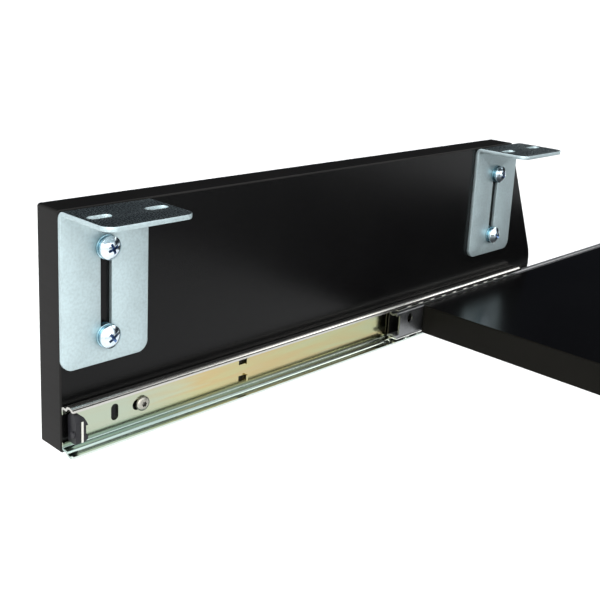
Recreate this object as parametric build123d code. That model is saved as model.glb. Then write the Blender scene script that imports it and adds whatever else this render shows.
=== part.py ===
"""Keyboard tray that hangs under a desk on two side plates and ball-bearing slides.

Frame: +Z up, the user sits at -Y, +X is the user's right. The origin is in the plane of the
desk's underside, midway between the side plates and midway between the front and rear brackets.
The tray is modelled pulled out to its stop.

Each side is drawn once, for the right, in the side's own axes: x forward towards the user from
the plate's rear edge, y up from the plate's lower edge, z inward from the plate's inner face.
"""
import os

from build123d import *

# Tray board
tray_width = 600.0
tray_depth = 360.0
tray_thickness = 19.0
tray_corner_radius = 4.0
tray_setback = 25.3

# Side plates
plate_thickness = 18.0
plate_height = 123.0
plate_top_length = 381.0
plate_foot_length = 437.5
plate_toe_radius = 26.0
plate_brow_radius = 3.0
plate_heel_radius = 1.6

# Edging of the boards
edging_thickness = 1.0
edge_easing = 0.6

# Angle brackets
bracket_width = 50.0
bracket_leg = 80.0
bracket_flange = 40.0
bracket_sheet = 2.5
bracket_bend = 2.0
bracket_corner_radius = 6.0
front_bracket_overhang = 4.0
leg_slot_width = 6.4
leg_slot_length = 54.0
leg_slot_drop = 43.4
flange_slot_width = 5.5
flange_slot_length = 12.5
flange_slot_spacing = 32.0
flange_slot_inward = 20.5

# Bracket screws, washers and threaded inserts
low_screw_drop = 66.0
high_screw_drop = 20.7
screw_radius = 3.0
screw_reach = 13.0
head_radius = 6.0
head_rim = 1.1
head_dome = 2.6
cross_length = 6.4
cross_width = 1.3
cross_depth = 2.0
cross_angles = (45.0, 135.0)
flat_washer_radius = 6.25
flat_washer_thickness = 1.2
spring_washer_radius = 5.4
spring_washer_thickness = 1.5
spring_washer_split = 1.2
spring_washer_turn = 160.0
washer_bore_clearance = 0.3
insert_radius = 4.75
insert_length = 14.0
insert_collar_radius = 6.0
insert_collar = 1.0
fit_clearance = 0.05

# Slide members
slide_length = 400.0
slide_setback = 0.6
slide_height = 27.0
slide_depth = 11.0
slide_sheet = 1.2
slide_bend = 0.8
lip_setback = 0.5
lip_relief = 5.0
toe_clearance = 2.2
ball_inward = 7.0
flange_over_balls = 0.5
lip_over_balls = 1.4
toe_under_balls = 1.25
race_clearance = 0.3

# Balls and cage
ball_radius = 2.0
balls_in_row = 10
ball_pitch = 12.8
first_ball = 13.4
cage_length = 134.0
cage_rear = 248.0
cage_sheet = 0.6
cage_gap = 0.8
cage_bend = 0.4
cage_hole_clearance = 0.12
cage_window_height = 9.0
cage_window_margin = 16.0
cage_window_count = 3
cage_window_web = 8.0

# Stops of the slide
notch_length = 5.5
notch_height = 15.0
tab_height = 11.0
tab_drop = 0.7
tab_reach = 9.0
bumper_front_wall = 2.9
bumper_rear_wall = 2.8
bumper_foot = 6.9
bumper_brow = 4.4
bumper_crown = 8.7
bumper_crown_taper = 2.0
bumper_crown_reach = 6.7
bumper_reach = 8.5
bumper_rounding = 1.0
bumper_seat = 0.3
bumper_waist = 1.1
bumper_waist_height = 5.2
bumper_waist_drop = 0.6
bumper_pin_radius = 1.7
bumper_pin_inward = 6.6
bumper_pin_drop = 1.9
bumper_pin_reach = 0.9
closing_gap = 0.5
tray_travel = 235.0
web_setback = 3.2
lance_width = 4.6
lance_height = 3.4
lance_spread = 10.2
lance_reach = 2.9
rear_lance_at = 115.2
front_lance_gap = 3.0

# Screws and openings of the slide
slot_forward = 30.8
slot_height = 9.0
slot_width = 4.4
pan_screw_forward = 47.8
pan_slot_length = 9.6
pan_slot_width = 6.0
pan_slot_rearward = 1.2
pan_head_radius = 4.0
pan_head_height = 2.3
hole_pitch = 32.0
sunk_screw_steps = (7, 10)
wood_screw_radius = 1.95
wood_screw_length = 14.0
sunk_head_radius = 3.8
sunk_head_flat = 0.2
drive_radius = 1.5
drive_depth = 1.2
tray_screw_margin = 34.0
tray_screw_count = 3
tray_screw_length = 16.0
eye_forward = 14.0
eye_up = 2.8
eye_width = 5.2
eye_height = 6.6

# Reach of a cut past the surface it opens
overrun = 5.0

# Places worked out from the sizes above
plate_gap = tray_width + 2 * slide_depth
front_bracket_at = plate_top_length + front_bracket_overhang - bracket_width
front_bracket_centre = front_bracket_at + bracket_width / 2
rear_bracket_centre = bracket_width / 2
mount_middle = (front_bracket_centre + rear_bracket_centre) / 2
screw_low = plate_height - low_screw_drop
screw_high = plate_height - high_screw_drop
leg_slot_up = plate_height - leg_slot_drop
slide_middle = slide_height / 2
race_radius = ball_radius + race_clearance
ball_up = slide_middle - slide_sheet - race_radius
outer_flat = ball_up + flange_over_balls
lip_flat = ball_up + lip_over_balls
inner_flat = ball_up - toe_under_balls
lip_inward = slide_depth - lip_setback
toe_inward = slide_sheet + toe_clearance
web_inward = slide_depth - slide_sheet
tab_forward = slide_setback + notch_length
tab_middle = slide_middle - tab_drop
tab_bend_end = tab_forward + slide_bend + 2 * slide_sheet
bumper_front = tab_forward + slide_sheet + bumper_front_wall
inner_rear = bumper_front + closing_gap + tray_travel
inner_length = tray_setback + tray_depth - lip_setback
tray_rear = inner_rear + tray_setback
leg_stack = bracket_sheet + flat_washer_thickness + spring_washer_thickness

side = Plane(
    origin=(plate_gap / 2, mount_middle, -plate_height),
    x_dir=(0, -1, 0),
    z_dir=(-1, 0, 0),
)


def section(forward):
    """Plane across the slide: its x runs inward and its y runs up."""
    return Plane(origin=(forward, slide_middle, 0), x_dir=(0, 0, 1), z_dir=(-1, 0, 0))


def along(sketch, rear, front):
    """Draw a cross-section out from its rear end to its front end."""
    return extrude(section(front) * sketch, amount=front - rear)


def pane(left, right, low, high):
    """Rectangle between two places across and two places up."""
    middle = Pos((left + right) / 2, (low + high) / 2)
    return middle * Rectangle(right - left, high - low)


def block(rear, front, low, high, outer, inner):
    """Box between places forward, up and inward."""
    return extrude(Pos(0, 0, outer) * pane(rear, front, low, high), amount=inner - outer)


def rod(forward, up, outer, inner, radius):
    """Round bar that runs inward."""
    return Pos(forward, up, outer) * extrude(Circle(radius), amount=inner - outer)


def rounded(sketch, points, radius):
    """Round the corners of a flat outline that lie at the given points."""
    reach = fit_clearance
    chosen = [
        corner
        for corner in sketch.vertices()
        if min((corner.center() - Vector(*point)).length for point in points) < reach
    ]
    return fillet(chosen, radius)


def turned(outline, forward, up):
    """Spin a half outline, drawn as radius across and inward up, about an inward axis."""
    upright = Plane(origin=(0, 0, 0), x_dir=(1, 0, 0), z_dir=(0, -1, 0)) * outline
    return Pos(forward, up, 0) * revolve(upright, axis=Axis.Z)


# Boards


def board(outline, thickness):
    """A board and its edging, from the finished outline."""
    inset = offset(outline, amount=-edging_thickness, kind=Kind.INTERSECTION)
    core = extrude(inset, amount=thickness)
    whole = extrude(outline, amount=thickness)
    rims = whole.faces().sort_by(Axis.Z)
    whole = fillet(rims[0].edges() + rims[-1].edges(), edge_easing)
    return core, whole - core


def plate_outline():
    """Side plate: sloping front edge, large round at its foot."""
    heel = (0, 0)
    foot = (plate_foot_length, 0)
    brow = (plate_top_length, plate_height)
    crown = (0, plate_height)
    sketch = make_face(Polyline(heel, foot, brow, crown, close=True))
    sketch = rounded(sketch, [foot], plate_toe_radius)
    sketch = rounded(sketch, [brow], plate_brow_radius)
    return rounded(sketch, [heel, crown], plate_heel_radius)


def side_plate():
    """Plate and edging, with the bores of the inserts and of the slide's screws."""
    core, edging = (Pos(0, 0, -plate_thickness) * piece for piece in board(plate_outline(), plate_thickness))
    for forward in (rear_bracket_centre, front_bracket_centre):
        for up in (screw_low, screw_high):
            core -= rod(forward, up, -insert_length, overrun, insert_radius)
            core -= rod(forward, up, -insert_collar, overrun, insert_collar_radius)
    core -= rod(pan_screw_forward, slide_middle, -wood_screw_length, overrun, wood_screw_radius)
    for forward in sunk_screw_places():
        core -= sunk_screw(forward, 0, wood_screw_length, 0)
    return core, edging


# Brackets and their screws


def bracket():
    """One angle bracket from its rear edge, bent from sheet with rounded corners."""
    corner = (plate_height, 0)
    inside = (plate_height - bracket_sheet, bracket_sheet)
    leg = pane(plate_height - bracket_leg, plate_height, 0, bracket_sheet)
    flange = pane(plate_height - bracket_sheet, plate_height, 0, bracket_flange)
    profile = rounded(leg + flange, [inside], bracket_bend)
    profile = rounded(profile, [corner], bracket_bend + bracket_sheet)
    across = Plane(origin=(bracket_width, 0, 0), x_dir=(0, 1, 0), z_dir=(1, 0, 0))
    solid = extrude(across * profile, amount=-bracket_width)
    foot = plate_height - bracket_leg + fit_clearance
    tip = bracket_flange - fit_clearance
    short = [edge for edge in solid.edges() if abs(edge.length - bracket_sheet) < fit_clearance]
    corners = [edge for edge in short if edge.center().Y < foot or edge.center().Z > tip]
    solid = fillet(corners, bracket_corner_radius)
    middle = bracket_width / 2
    leg_slot = Pos(middle, leg_slot_up) * SlotOverall(leg_slot_length, leg_slot_width, rotation=90)
    solid -= extrude(leg_slot, amount=bracket_sheet)
    for way in (-1, 1):
        forward = middle + way * flange_slot_spacing / 2
        floor = Plane(origin=(forward, plate_height, flange_slot_inward), x_dir=(1, 0, 0), z_dir=(0, 1, 0))
        slot = SlotOverall(flange_slot_length, flange_slot_width)
        solid -= extrude(floor * slot, amount=-bracket_sheet)
    return solid


def bracket_screw(forward, up):
    """Pan-head screw that clamps the bracket through its washers."""
    rim = leg_stack + head_rim
    apex = rim + head_dome
    profile = make_face(
        Line((0, -screw_reach), (screw_radius, -screw_reach))
        + Line((screw_radius, -screw_reach), (screw_radius, leg_stack))
        + Line((screw_radius, leg_stack), (head_radius, leg_stack))
        + Line((head_radius, leg_stack), (head_radius, rim))
        + RadiusArc((head_radius, rim), (0, apex), -dome_radius(head_radius, head_dome))
        + Line((0, apex), (0, -screw_reach))
    )
    screw = turned(profile, forward, up)
    for angle in cross_angles:
        arm = extrude(Rectangle(cross_length, cross_width), amount=cross_depth)
        screw -= Pos(forward, up, apex - cross_depth) * Rot(0, 0, angle) * arm
    return screw


def dome_radius(reach, rise):
    """Radius of the ball that a dome of this reach and rise is cut from."""
    return (reach**2 + rise**2) / (2 * rise)


def flat_washer(forward, up):
    """Plain washer on the bracket's leg."""
    bore = screw_radius + washer_bore_clearance
    top = bracket_sheet + flat_washer_thickness
    disc = rod(forward, up, bracket_sheet, top, flat_washer_radius)
    return disc - rod(forward, up, 0, top, bore)


def spring_washer(forward, up):
    """Split lock washer between the plain washer and the screw's head."""
    low = bracket_sheet + flat_washer_thickness
    bore = screw_radius + washer_bore_clearance
    ring = rod(forward, up, low, leg_stack, spring_washer_radius) - rod(forward, up, 0, leg_stack, bore)
    cut = extrude(Rectangle(spring_washer_radius, spring_washer_split), amount=leg_stack)
    place = Pos(forward, up, 0) * Rot(0, 0, spring_washer_turn) * Pos((spring_washer_radius + bore) / 2, 0, 0)
    return ring - place * cut


def plate_insert(forward, up):
    """Threaded insert with a collar, let into the plate."""
    body = rod(forward, up, fit_clearance - insert_length, 0, insert_radius - fit_clearance)
    body += rod(forward, up, -insert_collar, 0, insert_collar_radius - fit_clearance)
    return body - rod(forward, up, -insert_length, overrun, screw_radius + fit_clearance)


def at_bracket_screws(maker):
    """One piece at each screw of the rear and the front bracket."""
    places = [
        (forward, up)
        for forward in (rear_bracket_centre, front_bracket_centre)
        for up in (screw_low, screw_high)
    ]
    return [maker(forward, up) for forward, up in places]


# Slide sections


def mirrored(sketch):
    """Both halves of a section that is alike above and below the slide's middle."""
    return sketch + mirror(sketch, about=Plane.XZ)


def race(radius):
    """Round of the ball track, drawn about the centre of the upper balls."""
    return Pos(ball_inward, ball_up) * Circle(radius)


def outer_section():
    """Outer member: web on the plate, flanges that arch over the balls and end in a raised lip."""
    top = outer_flat + slide_sheet
    crown = slide_middle + overrun
    upper = pane(0, slide_sheet, 0, top) + pane(0, ball_inward, outer_flat, top)
    upper += race(race_radius + slide_sheet) & pane(0, ball_inward, outer_flat, crown)
    upper += race(race_radius + slide_sheet) & pane(ball_inward, lip_inward, lip_flat, crown)
    upper += pane(ball_inward, lip_inward, lip_flat, lip_flat + slide_sheet)
    upper -= race(race_radius)
    upper = rounded(upper, [(slide_sheet, outer_flat)], slide_bend)
    upper = rounded(upper, [(0, top)], slide_bend + slide_sheet)
    return mirrored(upper)


def inner_section():
    """Inner member: web on the tray, flanges dished under the balls."""
    low = inner_flat - slide_sheet
    upper = pane(web_inward, slide_depth, 0, inner_flat) + pane(toe_inward, slide_depth, low, inner_flat)
    upper += race(race_radius + slide_sheet) & pane(0, slide_depth, 0, low)
    upper -= race(race_radius)
    upper = rounded(upper, [(slide_depth, inner_flat)], slide_bend)
    return mirrored(upper)


def cage_section():
    """Cage: a thin channel that passes between the members' flanges."""
    web = slide_sheet + cage_gap
    low = ball_up - cage_sheet / 2
    high = ball_up + cage_sheet / 2
    reach = ball_inward + ball_radius + cage_gap
    upper = pane(web, web + cage_sheet, 0, high) + pane(web, reach, low, high)
    upper = rounded(upper, [(web + cage_sheet, low)], cage_bend)
    upper = rounded(upper, [(web, high)], cage_bend + cage_sheet)
    return mirrored(upper)


# Slide members


def end_tab(reach):
    """Tongue of the outer web bent across the slide, with the round of its bend."""
    stub = pane(tab_forward, tab_bend_end, 0, slide_sheet)
    tongue = pane(tab_forward, tab_forward + slide_sheet, 0, reach)
    profile = rounded(stub + tongue, [(tab_forward + slide_sheet, slide_sheet)], slide_bend)
    profile = rounded(profile, [(tab_forward, 0)], slide_bend + slide_sheet)
    level = Plane(origin=(0, tab_middle - tab_height / 2, 0), x_dir=(1, 0, 0), z_dir=(0, -1, 0))
    return extrude(level * profile, amount=-tab_height)


def lance(rear, up, stop):
    """Window and bent tongue that stop the cage; stop is the tongue's rear face."""
    low = slide_middle + up - lance_height / 2
    high = slide_middle + up + lance_height / 2
    window = block(rear, rear + lance_width, low, high, -overrun, slide_sheet + overrun)
    tongue = block(stop, stop + slide_sheet, low, high, 0, lance_reach)
    return window, tongue


def sunk_screw_places():
    """Places along the slide of its countersunk screws, in steps of the hole pitch."""
    return [pan_screw_forward + step * hole_pitch for step in sunk_screw_steps]


def sunk_screw(forward, seat, length, drive):
    """Countersunk wood screw whose flat face lies one sheet inward of its seat."""
    face = seat + slide_sheet
    shoulder = face - sunk_head_flat
    neck = shoulder - (sunk_head_radius - wood_screw_radius)
    profile = make_face(
        Polyline(
            (0, seat - length),
            (wood_screw_radius, seat - length),
            (wood_screw_radius, neck),
            (sunk_head_radius, shoulder),
            (sunk_head_radius, face),
            (0, face),
            close=True,
        )
    )
    screw = turned(profile, forward, slide_middle)
    if drive:
        screw -= rod(forward, slide_middle, face - drive, face, drive_radius)
    return screw


def pan_screw(forward):
    """Rear screw of the slide, with a low domed head on the web."""
    apex = slide_sheet + pan_head_height
    rim = slide_sheet + pan_head_height / 2
    profile = make_face(
        Line((0, -wood_screw_length), (wood_screw_radius, -wood_screw_length))
        + Line((wood_screw_radius, -wood_screw_length), (wood_screw_radius, slide_sheet))
        + Line((wood_screw_radius, slide_sheet), (pan_head_radius, slide_sheet))
        + Line((pan_head_radius, slide_sheet), (pan_head_radius, rim))
        + RadiusArc((pan_head_radius, rim), (0, apex), -dome_radius(pan_head_radius, apex - rim))
        + Line((0, apex), (0, -wood_screw_length))
    )
    screw = turned(profile, forward, slide_middle)
    return screw - rod(forward, slide_middle, apex - drive_depth, apex, drive_radius)


def outer_member():
    """Fixed member with its notch, end tab, slots, holes, cage stops and relieved lips."""
    front = slide_setback + slide_length
    member = along(outer_section(), slide_setback, front)
    relief = front - lip_relief
    member -= block(relief, front + overrun, 0, slide_height, ball_inward, slide_depth)
    half_notch = notch_height / 2
    half_tab = tab_height / 2
    member -= block(0, tab_forward, slide_middle - half_notch, slide_middle + half_notch, 0, slide_sheet)
    member -= block(0, tab_bend_end, tab_middle - half_tab, tab_middle + half_tab, 0, slide_sheet)
    member += end_tab(tab_reach)
    level = Pos(slot_forward, slide_middle)
    member -= extrude(level * SlotOverall(slot_height, slot_width, rotation=90), amount=slide_sheet)
    level = Pos(pan_screw_forward - pan_slot_rearward, slide_middle)
    member -= extrude(level * SlotOverall(pan_slot_length, pan_slot_width), amount=slide_sheet)
    for forward in sunk_screw_places():
        member -= sunk_screw(forward, 0, wood_screw_length, 0)
    front_stop = cage_rear + cage_length + front_lance_gap
    for up in (-lance_spread / 2, lance_spread / 2):
        rear_stop = rear_lance_at + lance_width
        for rear, stop in ((rear_lance_at, rear_stop), (front_stop + slide_sheet, front_stop)):
            window, tongue = lance(rear, up, stop)
            member = member - window + tongue
    return member


def slide_bumper():
    """Rubber bumper clipped over the end tab, which the tray's slide meets when it is shut."""
    rear = tab_forward - bumper_rear_wall
    outer = slide_sheet + bumper_seat
    crown_outer = outer + bumper_crown_taper
    outline = [
        (outer, -bumper_foot),
        (outer, bumper_crown - bumper_crown_taper),
        (crown_outer, bumper_crown),
        (bumper_crown_reach, bumper_crown),
        (bumper_reach, bumper_brow),
        (bumper_reach, -bumper_foot),
    ]
    profile = rounded(make_face(Polyline(*outline, close=True)), outline, bumper_rounding)
    body = along(profile, rear, bumper_front)
    waist = slide_middle - bumper_waist_drop
    half = bumper_waist_height / 2
    body -= block(bumper_front - bumper_waist, bumper_front, waist - half, waist + half, 0, slide_depth)
    pin = Pos(bumper_pin_inward, -bumper_pin_drop) * Circle(bumper_pin_radius)
    body += along(pin, rear - bumper_pin_reach, rear + bumper_rear_wall / 2)
    return body - end_tab(tab_reach + overrun)


def inner_member():
    """Moving member: its web starts ahead of its flanges, with an eye and the tray screws' holes."""
    front = inner_rear + inner_length
    member = along(inner_section(), inner_rear, front)
    half_gap = inner_flat - slide_bend - slide_sheet
    low = slide_middle - half_gap
    high = slide_middle + half_gap
    member -= block(inner_rear, inner_rear + web_setback, low, high, web_inward, slide_depth)
    eye = Pos(inner_rear + eye_forward, slide_middle + eye_up, web_inward)
    member -= extrude(eye * Ellipse(eye_width / 2, eye_height / 2), amount=slide_sheet)
    for forward in tray_screw_places():
        member -= tray_screw(forward, 0)
    return member


def tray_screw_places():
    """Places of the screws that hold the tray to the inner member."""
    first = tray_rear + tray_screw_margin
    last = inner_rear + inner_length - tray_screw_margin
    step = (last - first) / (tray_screw_count - 1)
    return [first + index * step for index in range(tray_screw_count)]


def tray_screw(forward, drive):
    """Countersunk screw that points inward, its head in the inner member's web."""
    screw = sunk_screw(0, 0, tray_screw_length, drive)
    screw = Pos(0, -slide_middle, 0) * screw
    return Pos(forward, slide_middle, slide_depth) * Rot(180, 0, 0) * screw


def ball_places():
    """Places of the balls along one row of the cage."""
    return [cage_rear + first_ball + index * ball_pitch for index in range(balls_in_row)]


def ball_cage():
    """Cage with a seat for each ball and lightening windows in its web."""
    cage = along(cage_section(), cage_rear, cage_rear + cage_length)
    seat = ball_radius + cage_hole_clearance
    for forward in ball_places():
        for way in (-1, 1):
            spot = (forward, slide_middle + way * ball_up, ball_inward)
            upright = Plane(origin=spot, x_dir=(1, 0, 0), z_dir=(0, way, 0))
            cage -= extrude(upright * Circle(seat), amount=cage_sheet, both=True)
    room = cage_length - 2 * cage_window_margin
    window = (room - (cage_window_count - 1) * cage_window_web) / cage_window_count
    web = slide_sheet + cage_gap
    for index in range(cage_window_count):
        middle = cage_rear + cage_window_margin + window / 2 + index * (window + cage_window_web)
        opening = Pos(middle, slide_middle, web) * SlotOverall(window, cage_window_height)
        cage -= extrude(opening, amount=cage_sheet)
    return cage


def balls():
    """Upper and lower row of balls."""
    rows = []
    for forward in ball_places():
        for way in (-1, 1):
            rows.append(Pos(forward, slide_middle + way * ball_up, ball_inward) * Sphere(ball_radius))
    return rows


# Tray board


def tray():
    """Tray board and its edging, with the bores of the tray's screws."""
    level = slide_middle - tray_thickness / 2 - plate_height
    middle = Pos(0, mount_middle - tray_rear - tray_depth / 2, level)
    outline = RectangleRounded(tray_width, tray_depth, tray_corner_radius)
    core, edging = (middle * piece for piece in board(outline, tray_thickness))
    for forward in tray_screw_places():
        bore = side * tray_screw(forward, 0)
        for cutter in (bore, mirror(bore, about=Plane.YZ)):
            core -= cutter
            edging -= cutter
    return core, edging


# Writing the nodes


def save(name, solids):
    """Write one node, as one solid or a group of separate solids."""
    pieces = [solid for shape in solids for solid in shape.solids()]
    whole = pieces[0] if len(pieces) == 1 else Compound(children=pieces)
    export_step(whole, f"parts/{name}.step")


def save_pair(name, solids):
    """Write a node for the right side and its mirror image for the left."""
    placed = [side * shape for shape in solids]
    save(f"right_{name}", placed)
    save(f"left_{name}", [mirror(shape, about=Plane.YZ) for shape in placed])


os.makedirs("parts", exist_ok=True)

plate_core, plate_edging = side_plate()
save_pair("side_plate", [plate_core])
save_pair("plate_edging", [plate_edging])
save_pair("plate_inserts", at_bracket_screws(plate_insert))
save_pair("rear_bracket", [bracket()])
save_pair("front_bracket", [Pos(front_bracket_at, 0, 0) * bracket()])
save_pair("bracket_screws", at_bracket_screws(bracket_screw))
save_pair("spring_washers", at_bracket_screws(spring_washer))
save_pair("flat_washers", at_bracket_screws(flat_washer))

save_pair("outer_member", [outer_member()])
save_pair("slide_bumper", [slide_bumper()])
slide_screws = [sunk_screw(forward, 0, wood_screw_length, drive_depth) for forward in sunk_screw_places()]
save_pair("slide_screws", [pan_screw(pan_screw_forward)] + slide_screws)

save_pair("ball_cage", [ball_cage()])
save_pair("balls", balls())
save_pair("inner_member", [inner_member()])
save_pair("tray_screws", [tray_screw(forward, drive_depth) for forward in tray_screw_places()])

tray_core, tray_edging = tray()
save("tray_shelf", [tray_core])
save("tray_edging", [tray_edging])
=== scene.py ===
import math

import bmesh
import bpy
from mathutils import Matrix, Vector


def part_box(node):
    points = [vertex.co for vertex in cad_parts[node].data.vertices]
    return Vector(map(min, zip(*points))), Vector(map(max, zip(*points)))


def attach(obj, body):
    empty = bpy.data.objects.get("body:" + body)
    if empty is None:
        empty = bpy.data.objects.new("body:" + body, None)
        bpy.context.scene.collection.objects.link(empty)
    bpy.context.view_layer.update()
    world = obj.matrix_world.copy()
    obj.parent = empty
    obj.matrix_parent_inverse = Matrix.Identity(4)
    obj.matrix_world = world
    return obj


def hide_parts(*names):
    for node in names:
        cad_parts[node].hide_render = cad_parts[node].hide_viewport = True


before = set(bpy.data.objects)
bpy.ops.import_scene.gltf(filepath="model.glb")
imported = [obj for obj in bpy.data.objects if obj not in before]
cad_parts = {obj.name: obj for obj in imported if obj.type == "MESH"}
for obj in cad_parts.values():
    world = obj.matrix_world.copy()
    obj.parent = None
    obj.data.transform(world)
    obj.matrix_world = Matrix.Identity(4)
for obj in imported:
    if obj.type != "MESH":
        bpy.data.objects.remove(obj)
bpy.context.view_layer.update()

# Places in metres, as the solids have them: the slide's middle height, the plates' inner faces
# out from the middle, and how far the slide's lips and its cage's web stand in from those faces
SLIDE_MIDDLE = -0.1095
PLATE_FACE = 0.311
LIP_REACH = 0.0105
CAGE_WEB_REACH = 0.0026

# Directions of the two sides along X
SIDES = {"right": 1.0, "left": -1.0}


# Nodes of a tree, for finishes and for shapes


def node(tree, kind, values=None, **settings):
    """Add a node; each value is a number, a colour or another node's socket."""
    made = tree.nodes.new(kind)
    for name, setting in settings.items():
        setattr(made, name, setting)
    for name, value in (values or {}).items():
        if isinstance(value, bpy.types.NodeSocket):
            tree.links.new(value, made.inputs[name])
        else:
            made.inputs[name].default_value = value
    return made


def calc(tree, operation, *values):
    """One step of arithmetic on numbers or sockets."""
    return node(tree, "ShaderNodeMath", dict(enumerate(values)), operation=operation).outputs[0]


def triple(tree, x, y, z):
    """A place or a size from its three numbers."""
    return node(tree, "ShaderNodeCombineXYZ", {"X": x, "Y": y, "Z": z}).outputs[0]


def axis(tree, vector, letter):
    """One of the three numbers of a place or a direction."""
    return node(tree, "ShaderNodeSeparateXYZ", {"Vector": vector}).outputs[letter]


def here(tree):
    """Place of each point of a shape."""
    return node(tree, "GeometryNodeInputPosition").outputs[0]


def number(tree):
    """Number of each point in its list, from zero."""
    return node(tree, "GeometryNodeInputIndex").outputs[0]


# Finishes


def finish(name, metal, roughness, specular=0.5):
    """Empty finish: its tree, its shader and the place of each point in metres."""
    material = bpy.data.materials.new(name)
    material.use_nodes = True
    tree = material.node_tree
    tree.nodes.clear()
    values = {"Metallic": metal, "Roughness": roughness, "Specular IOR Level": specular}
    shader = node(tree, "ShaderNodeBsdfPrincipled", values)
    result = node(tree, "ShaderNodeOutputMaterial")
    tree.links.new(shader.outputs["BSDF"], result.inputs["Surface"])
    place = node(tree, "ShaderNodeTexCoord").outputs["Object"]
    return material, tree, shader, place


def stretched(tree, place, scale):
    """The same places with each axis drawn out or squeezed, for grain that runs one way."""
    return node(tree, "ShaderNodeMapping", {"Vector": place, "Scale": scale}).outputs["Vector"]


def grain(tree, place, scale, detail=3.0, roughness=0.5, distortion=0.0):
    """Cloudy noise from 0 to 1."""
    values = {"Vector": place, "Scale": scale, "Detail": detail}
    values.update({"Roughness": roughness, "Distortion": distortion})
    return node(tree, "ShaderNodeTexNoise", values).outputs["Fac"]


def ramp(tree, share, stops):
    """Colour that follows a share through a list of places and colours."""
    made = node(tree, "ShaderNodeValToRGB", {"Fac": share})
    elements = made.color_ramp.elements
    while len(elements) < len(stops):
        elements.new(0.5)
    for element, (place, colour) in zip(elements, stops):
        element.position = place
        element.color = (*colour, 1.0)
    return made.outputs["Color"]


def between(tree, share, low, high, from_low=0.0, from_high=1.0):
    """A share turned into a number from low to high."""
    values = {"Value": share, "From Min": from_low, "From Max": from_high, "To Min": low, "To Max": high}
    return node(tree, "ShaderNodeMapRange", values).outputs["Result"]


def blended(tree, share, first, second, way="MIX"):
    """Mix of two colours."""
    made = node(tree, "ShaderNodeMix", data_type="RGBA", blend_type=way)
    for socket, value in ((made.inputs[0], share), (made.inputs[6], first), (made.inputs[7], second)):
        if isinstance(value, bpy.types.NodeSocket):
            tree.links.new(value, socket)
        else:
            socket.default_value = value if isinstance(value, float) else (*value, 1.0)
    return made.outputs[2]


def relief(tree, shader, height, depth, strength=1.0, under=None):
    """Bumps of a given depth in metres."""
    values = {"Height": height, "Distance": depth, "Strength": strength}
    if under is not None:
        values["Normal"] = under
    made = node(tree, "ShaderNodeBump", values)
    tree.links.new(made.outputs["Normal"], shader.inputs["Normal"])
    return made.outputs["Normal"]


def levelness(tree):
    """How level a surface is: 0 on an upright face, 1 on a level one."""
    normal = node(tree, "ShaderNodeNewGeometry").outputs["Normal"]
    return calc(tree, "ABSOLUTE", axis(tree, normal, "Z"))


def inward_of_plate(tree, place):
    """Distance of a place inward from the nearer plate's face, in metres."""
    return calc(tree, "SUBTRACT", PLATE_FACE, calc(tree, "ABSOLUTE", axis(tree, place, "X")))


def board_black(name, dark, light, specular, low, high):
    """Black melamine on a board: a fine pebbled film, faintly cloudy, with a few dull rub marks."""
    material, tree, shader, place = finish(name, 0.0, 0.5, specular)
    clouds = grain(tree, place, 9.0, 4.0, 0.6)
    pebbles = grain(tree, place, 1500.0, 2.0, 0.6)
    rubs = grain(tree, stretched(tree, place, (30.0, 7.0, 45.0)), 1.0, 5.0, 0.7, 0.6)
    colour = ramp(tree, clouds, [(0.3, dark), (0.7, light)])
    fleck = ramp(tree, pebbles, [(0.35, (0.75, 0.75, 0.75)), (0.7, (1.25, 1.25, 1.25))])
    tree.links.new(blended(tree, 1.0, colour, fleck, "MULTIPLY"), shader.inputs["Base Color"])
    film = between(tree, clouds, low, high)
    rubbed = between(tree, rubs, 0.0, 0.06, 0.62, 0.78)
    tree.links.new(calc(tree, "ADD", film, rubbed), shader.inputs["Roughness"])
    relief(tree, shader, pebbles, 0.00002, 0.35)
    return material


def edging_black(name, dark, light, specular, level_shade=1.0):
    """Black edging of the boards: smoother than the film and greyer, planed along its length.

    Level shade is the share of its lightness that a level edge keeps: painted shade that leaves the top
    edges darker than the upright ends.
    """
    material, tree, shader, place = finish(name, 0.0, 0.5, specular)
    clouds = grain(tree, place, 14.0, 3.0, 0.55)
    planing = grain(tree, stretched(tree, place, (60.0, 60.0, 900.0)), 1.0, 3.0, 0.6)
    colour = ramp(tree, clouds, [(0.3, dark), (0.7, light)])
    # Painted shade: level edges are darker than upright ones, for light that falls from the side.
    painted_top_shade = ramp(tree, levelness(tree), [(0.6, (1.0, 1.0, 1.0)), (0.95, (level_shade, level_shade, level_shade))])
    tree.links.new(blended(tree, 1.0, colour, painted_top_shade, "MULTIPLY"), shader.inputs["Base Color"])
    tree.links.new(between(tree, planing, 0.38, 0.52), shader.inputs["Roughness"])
    relief(tree, shader, planing, 0.00002, 0.3)
    return material


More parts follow.
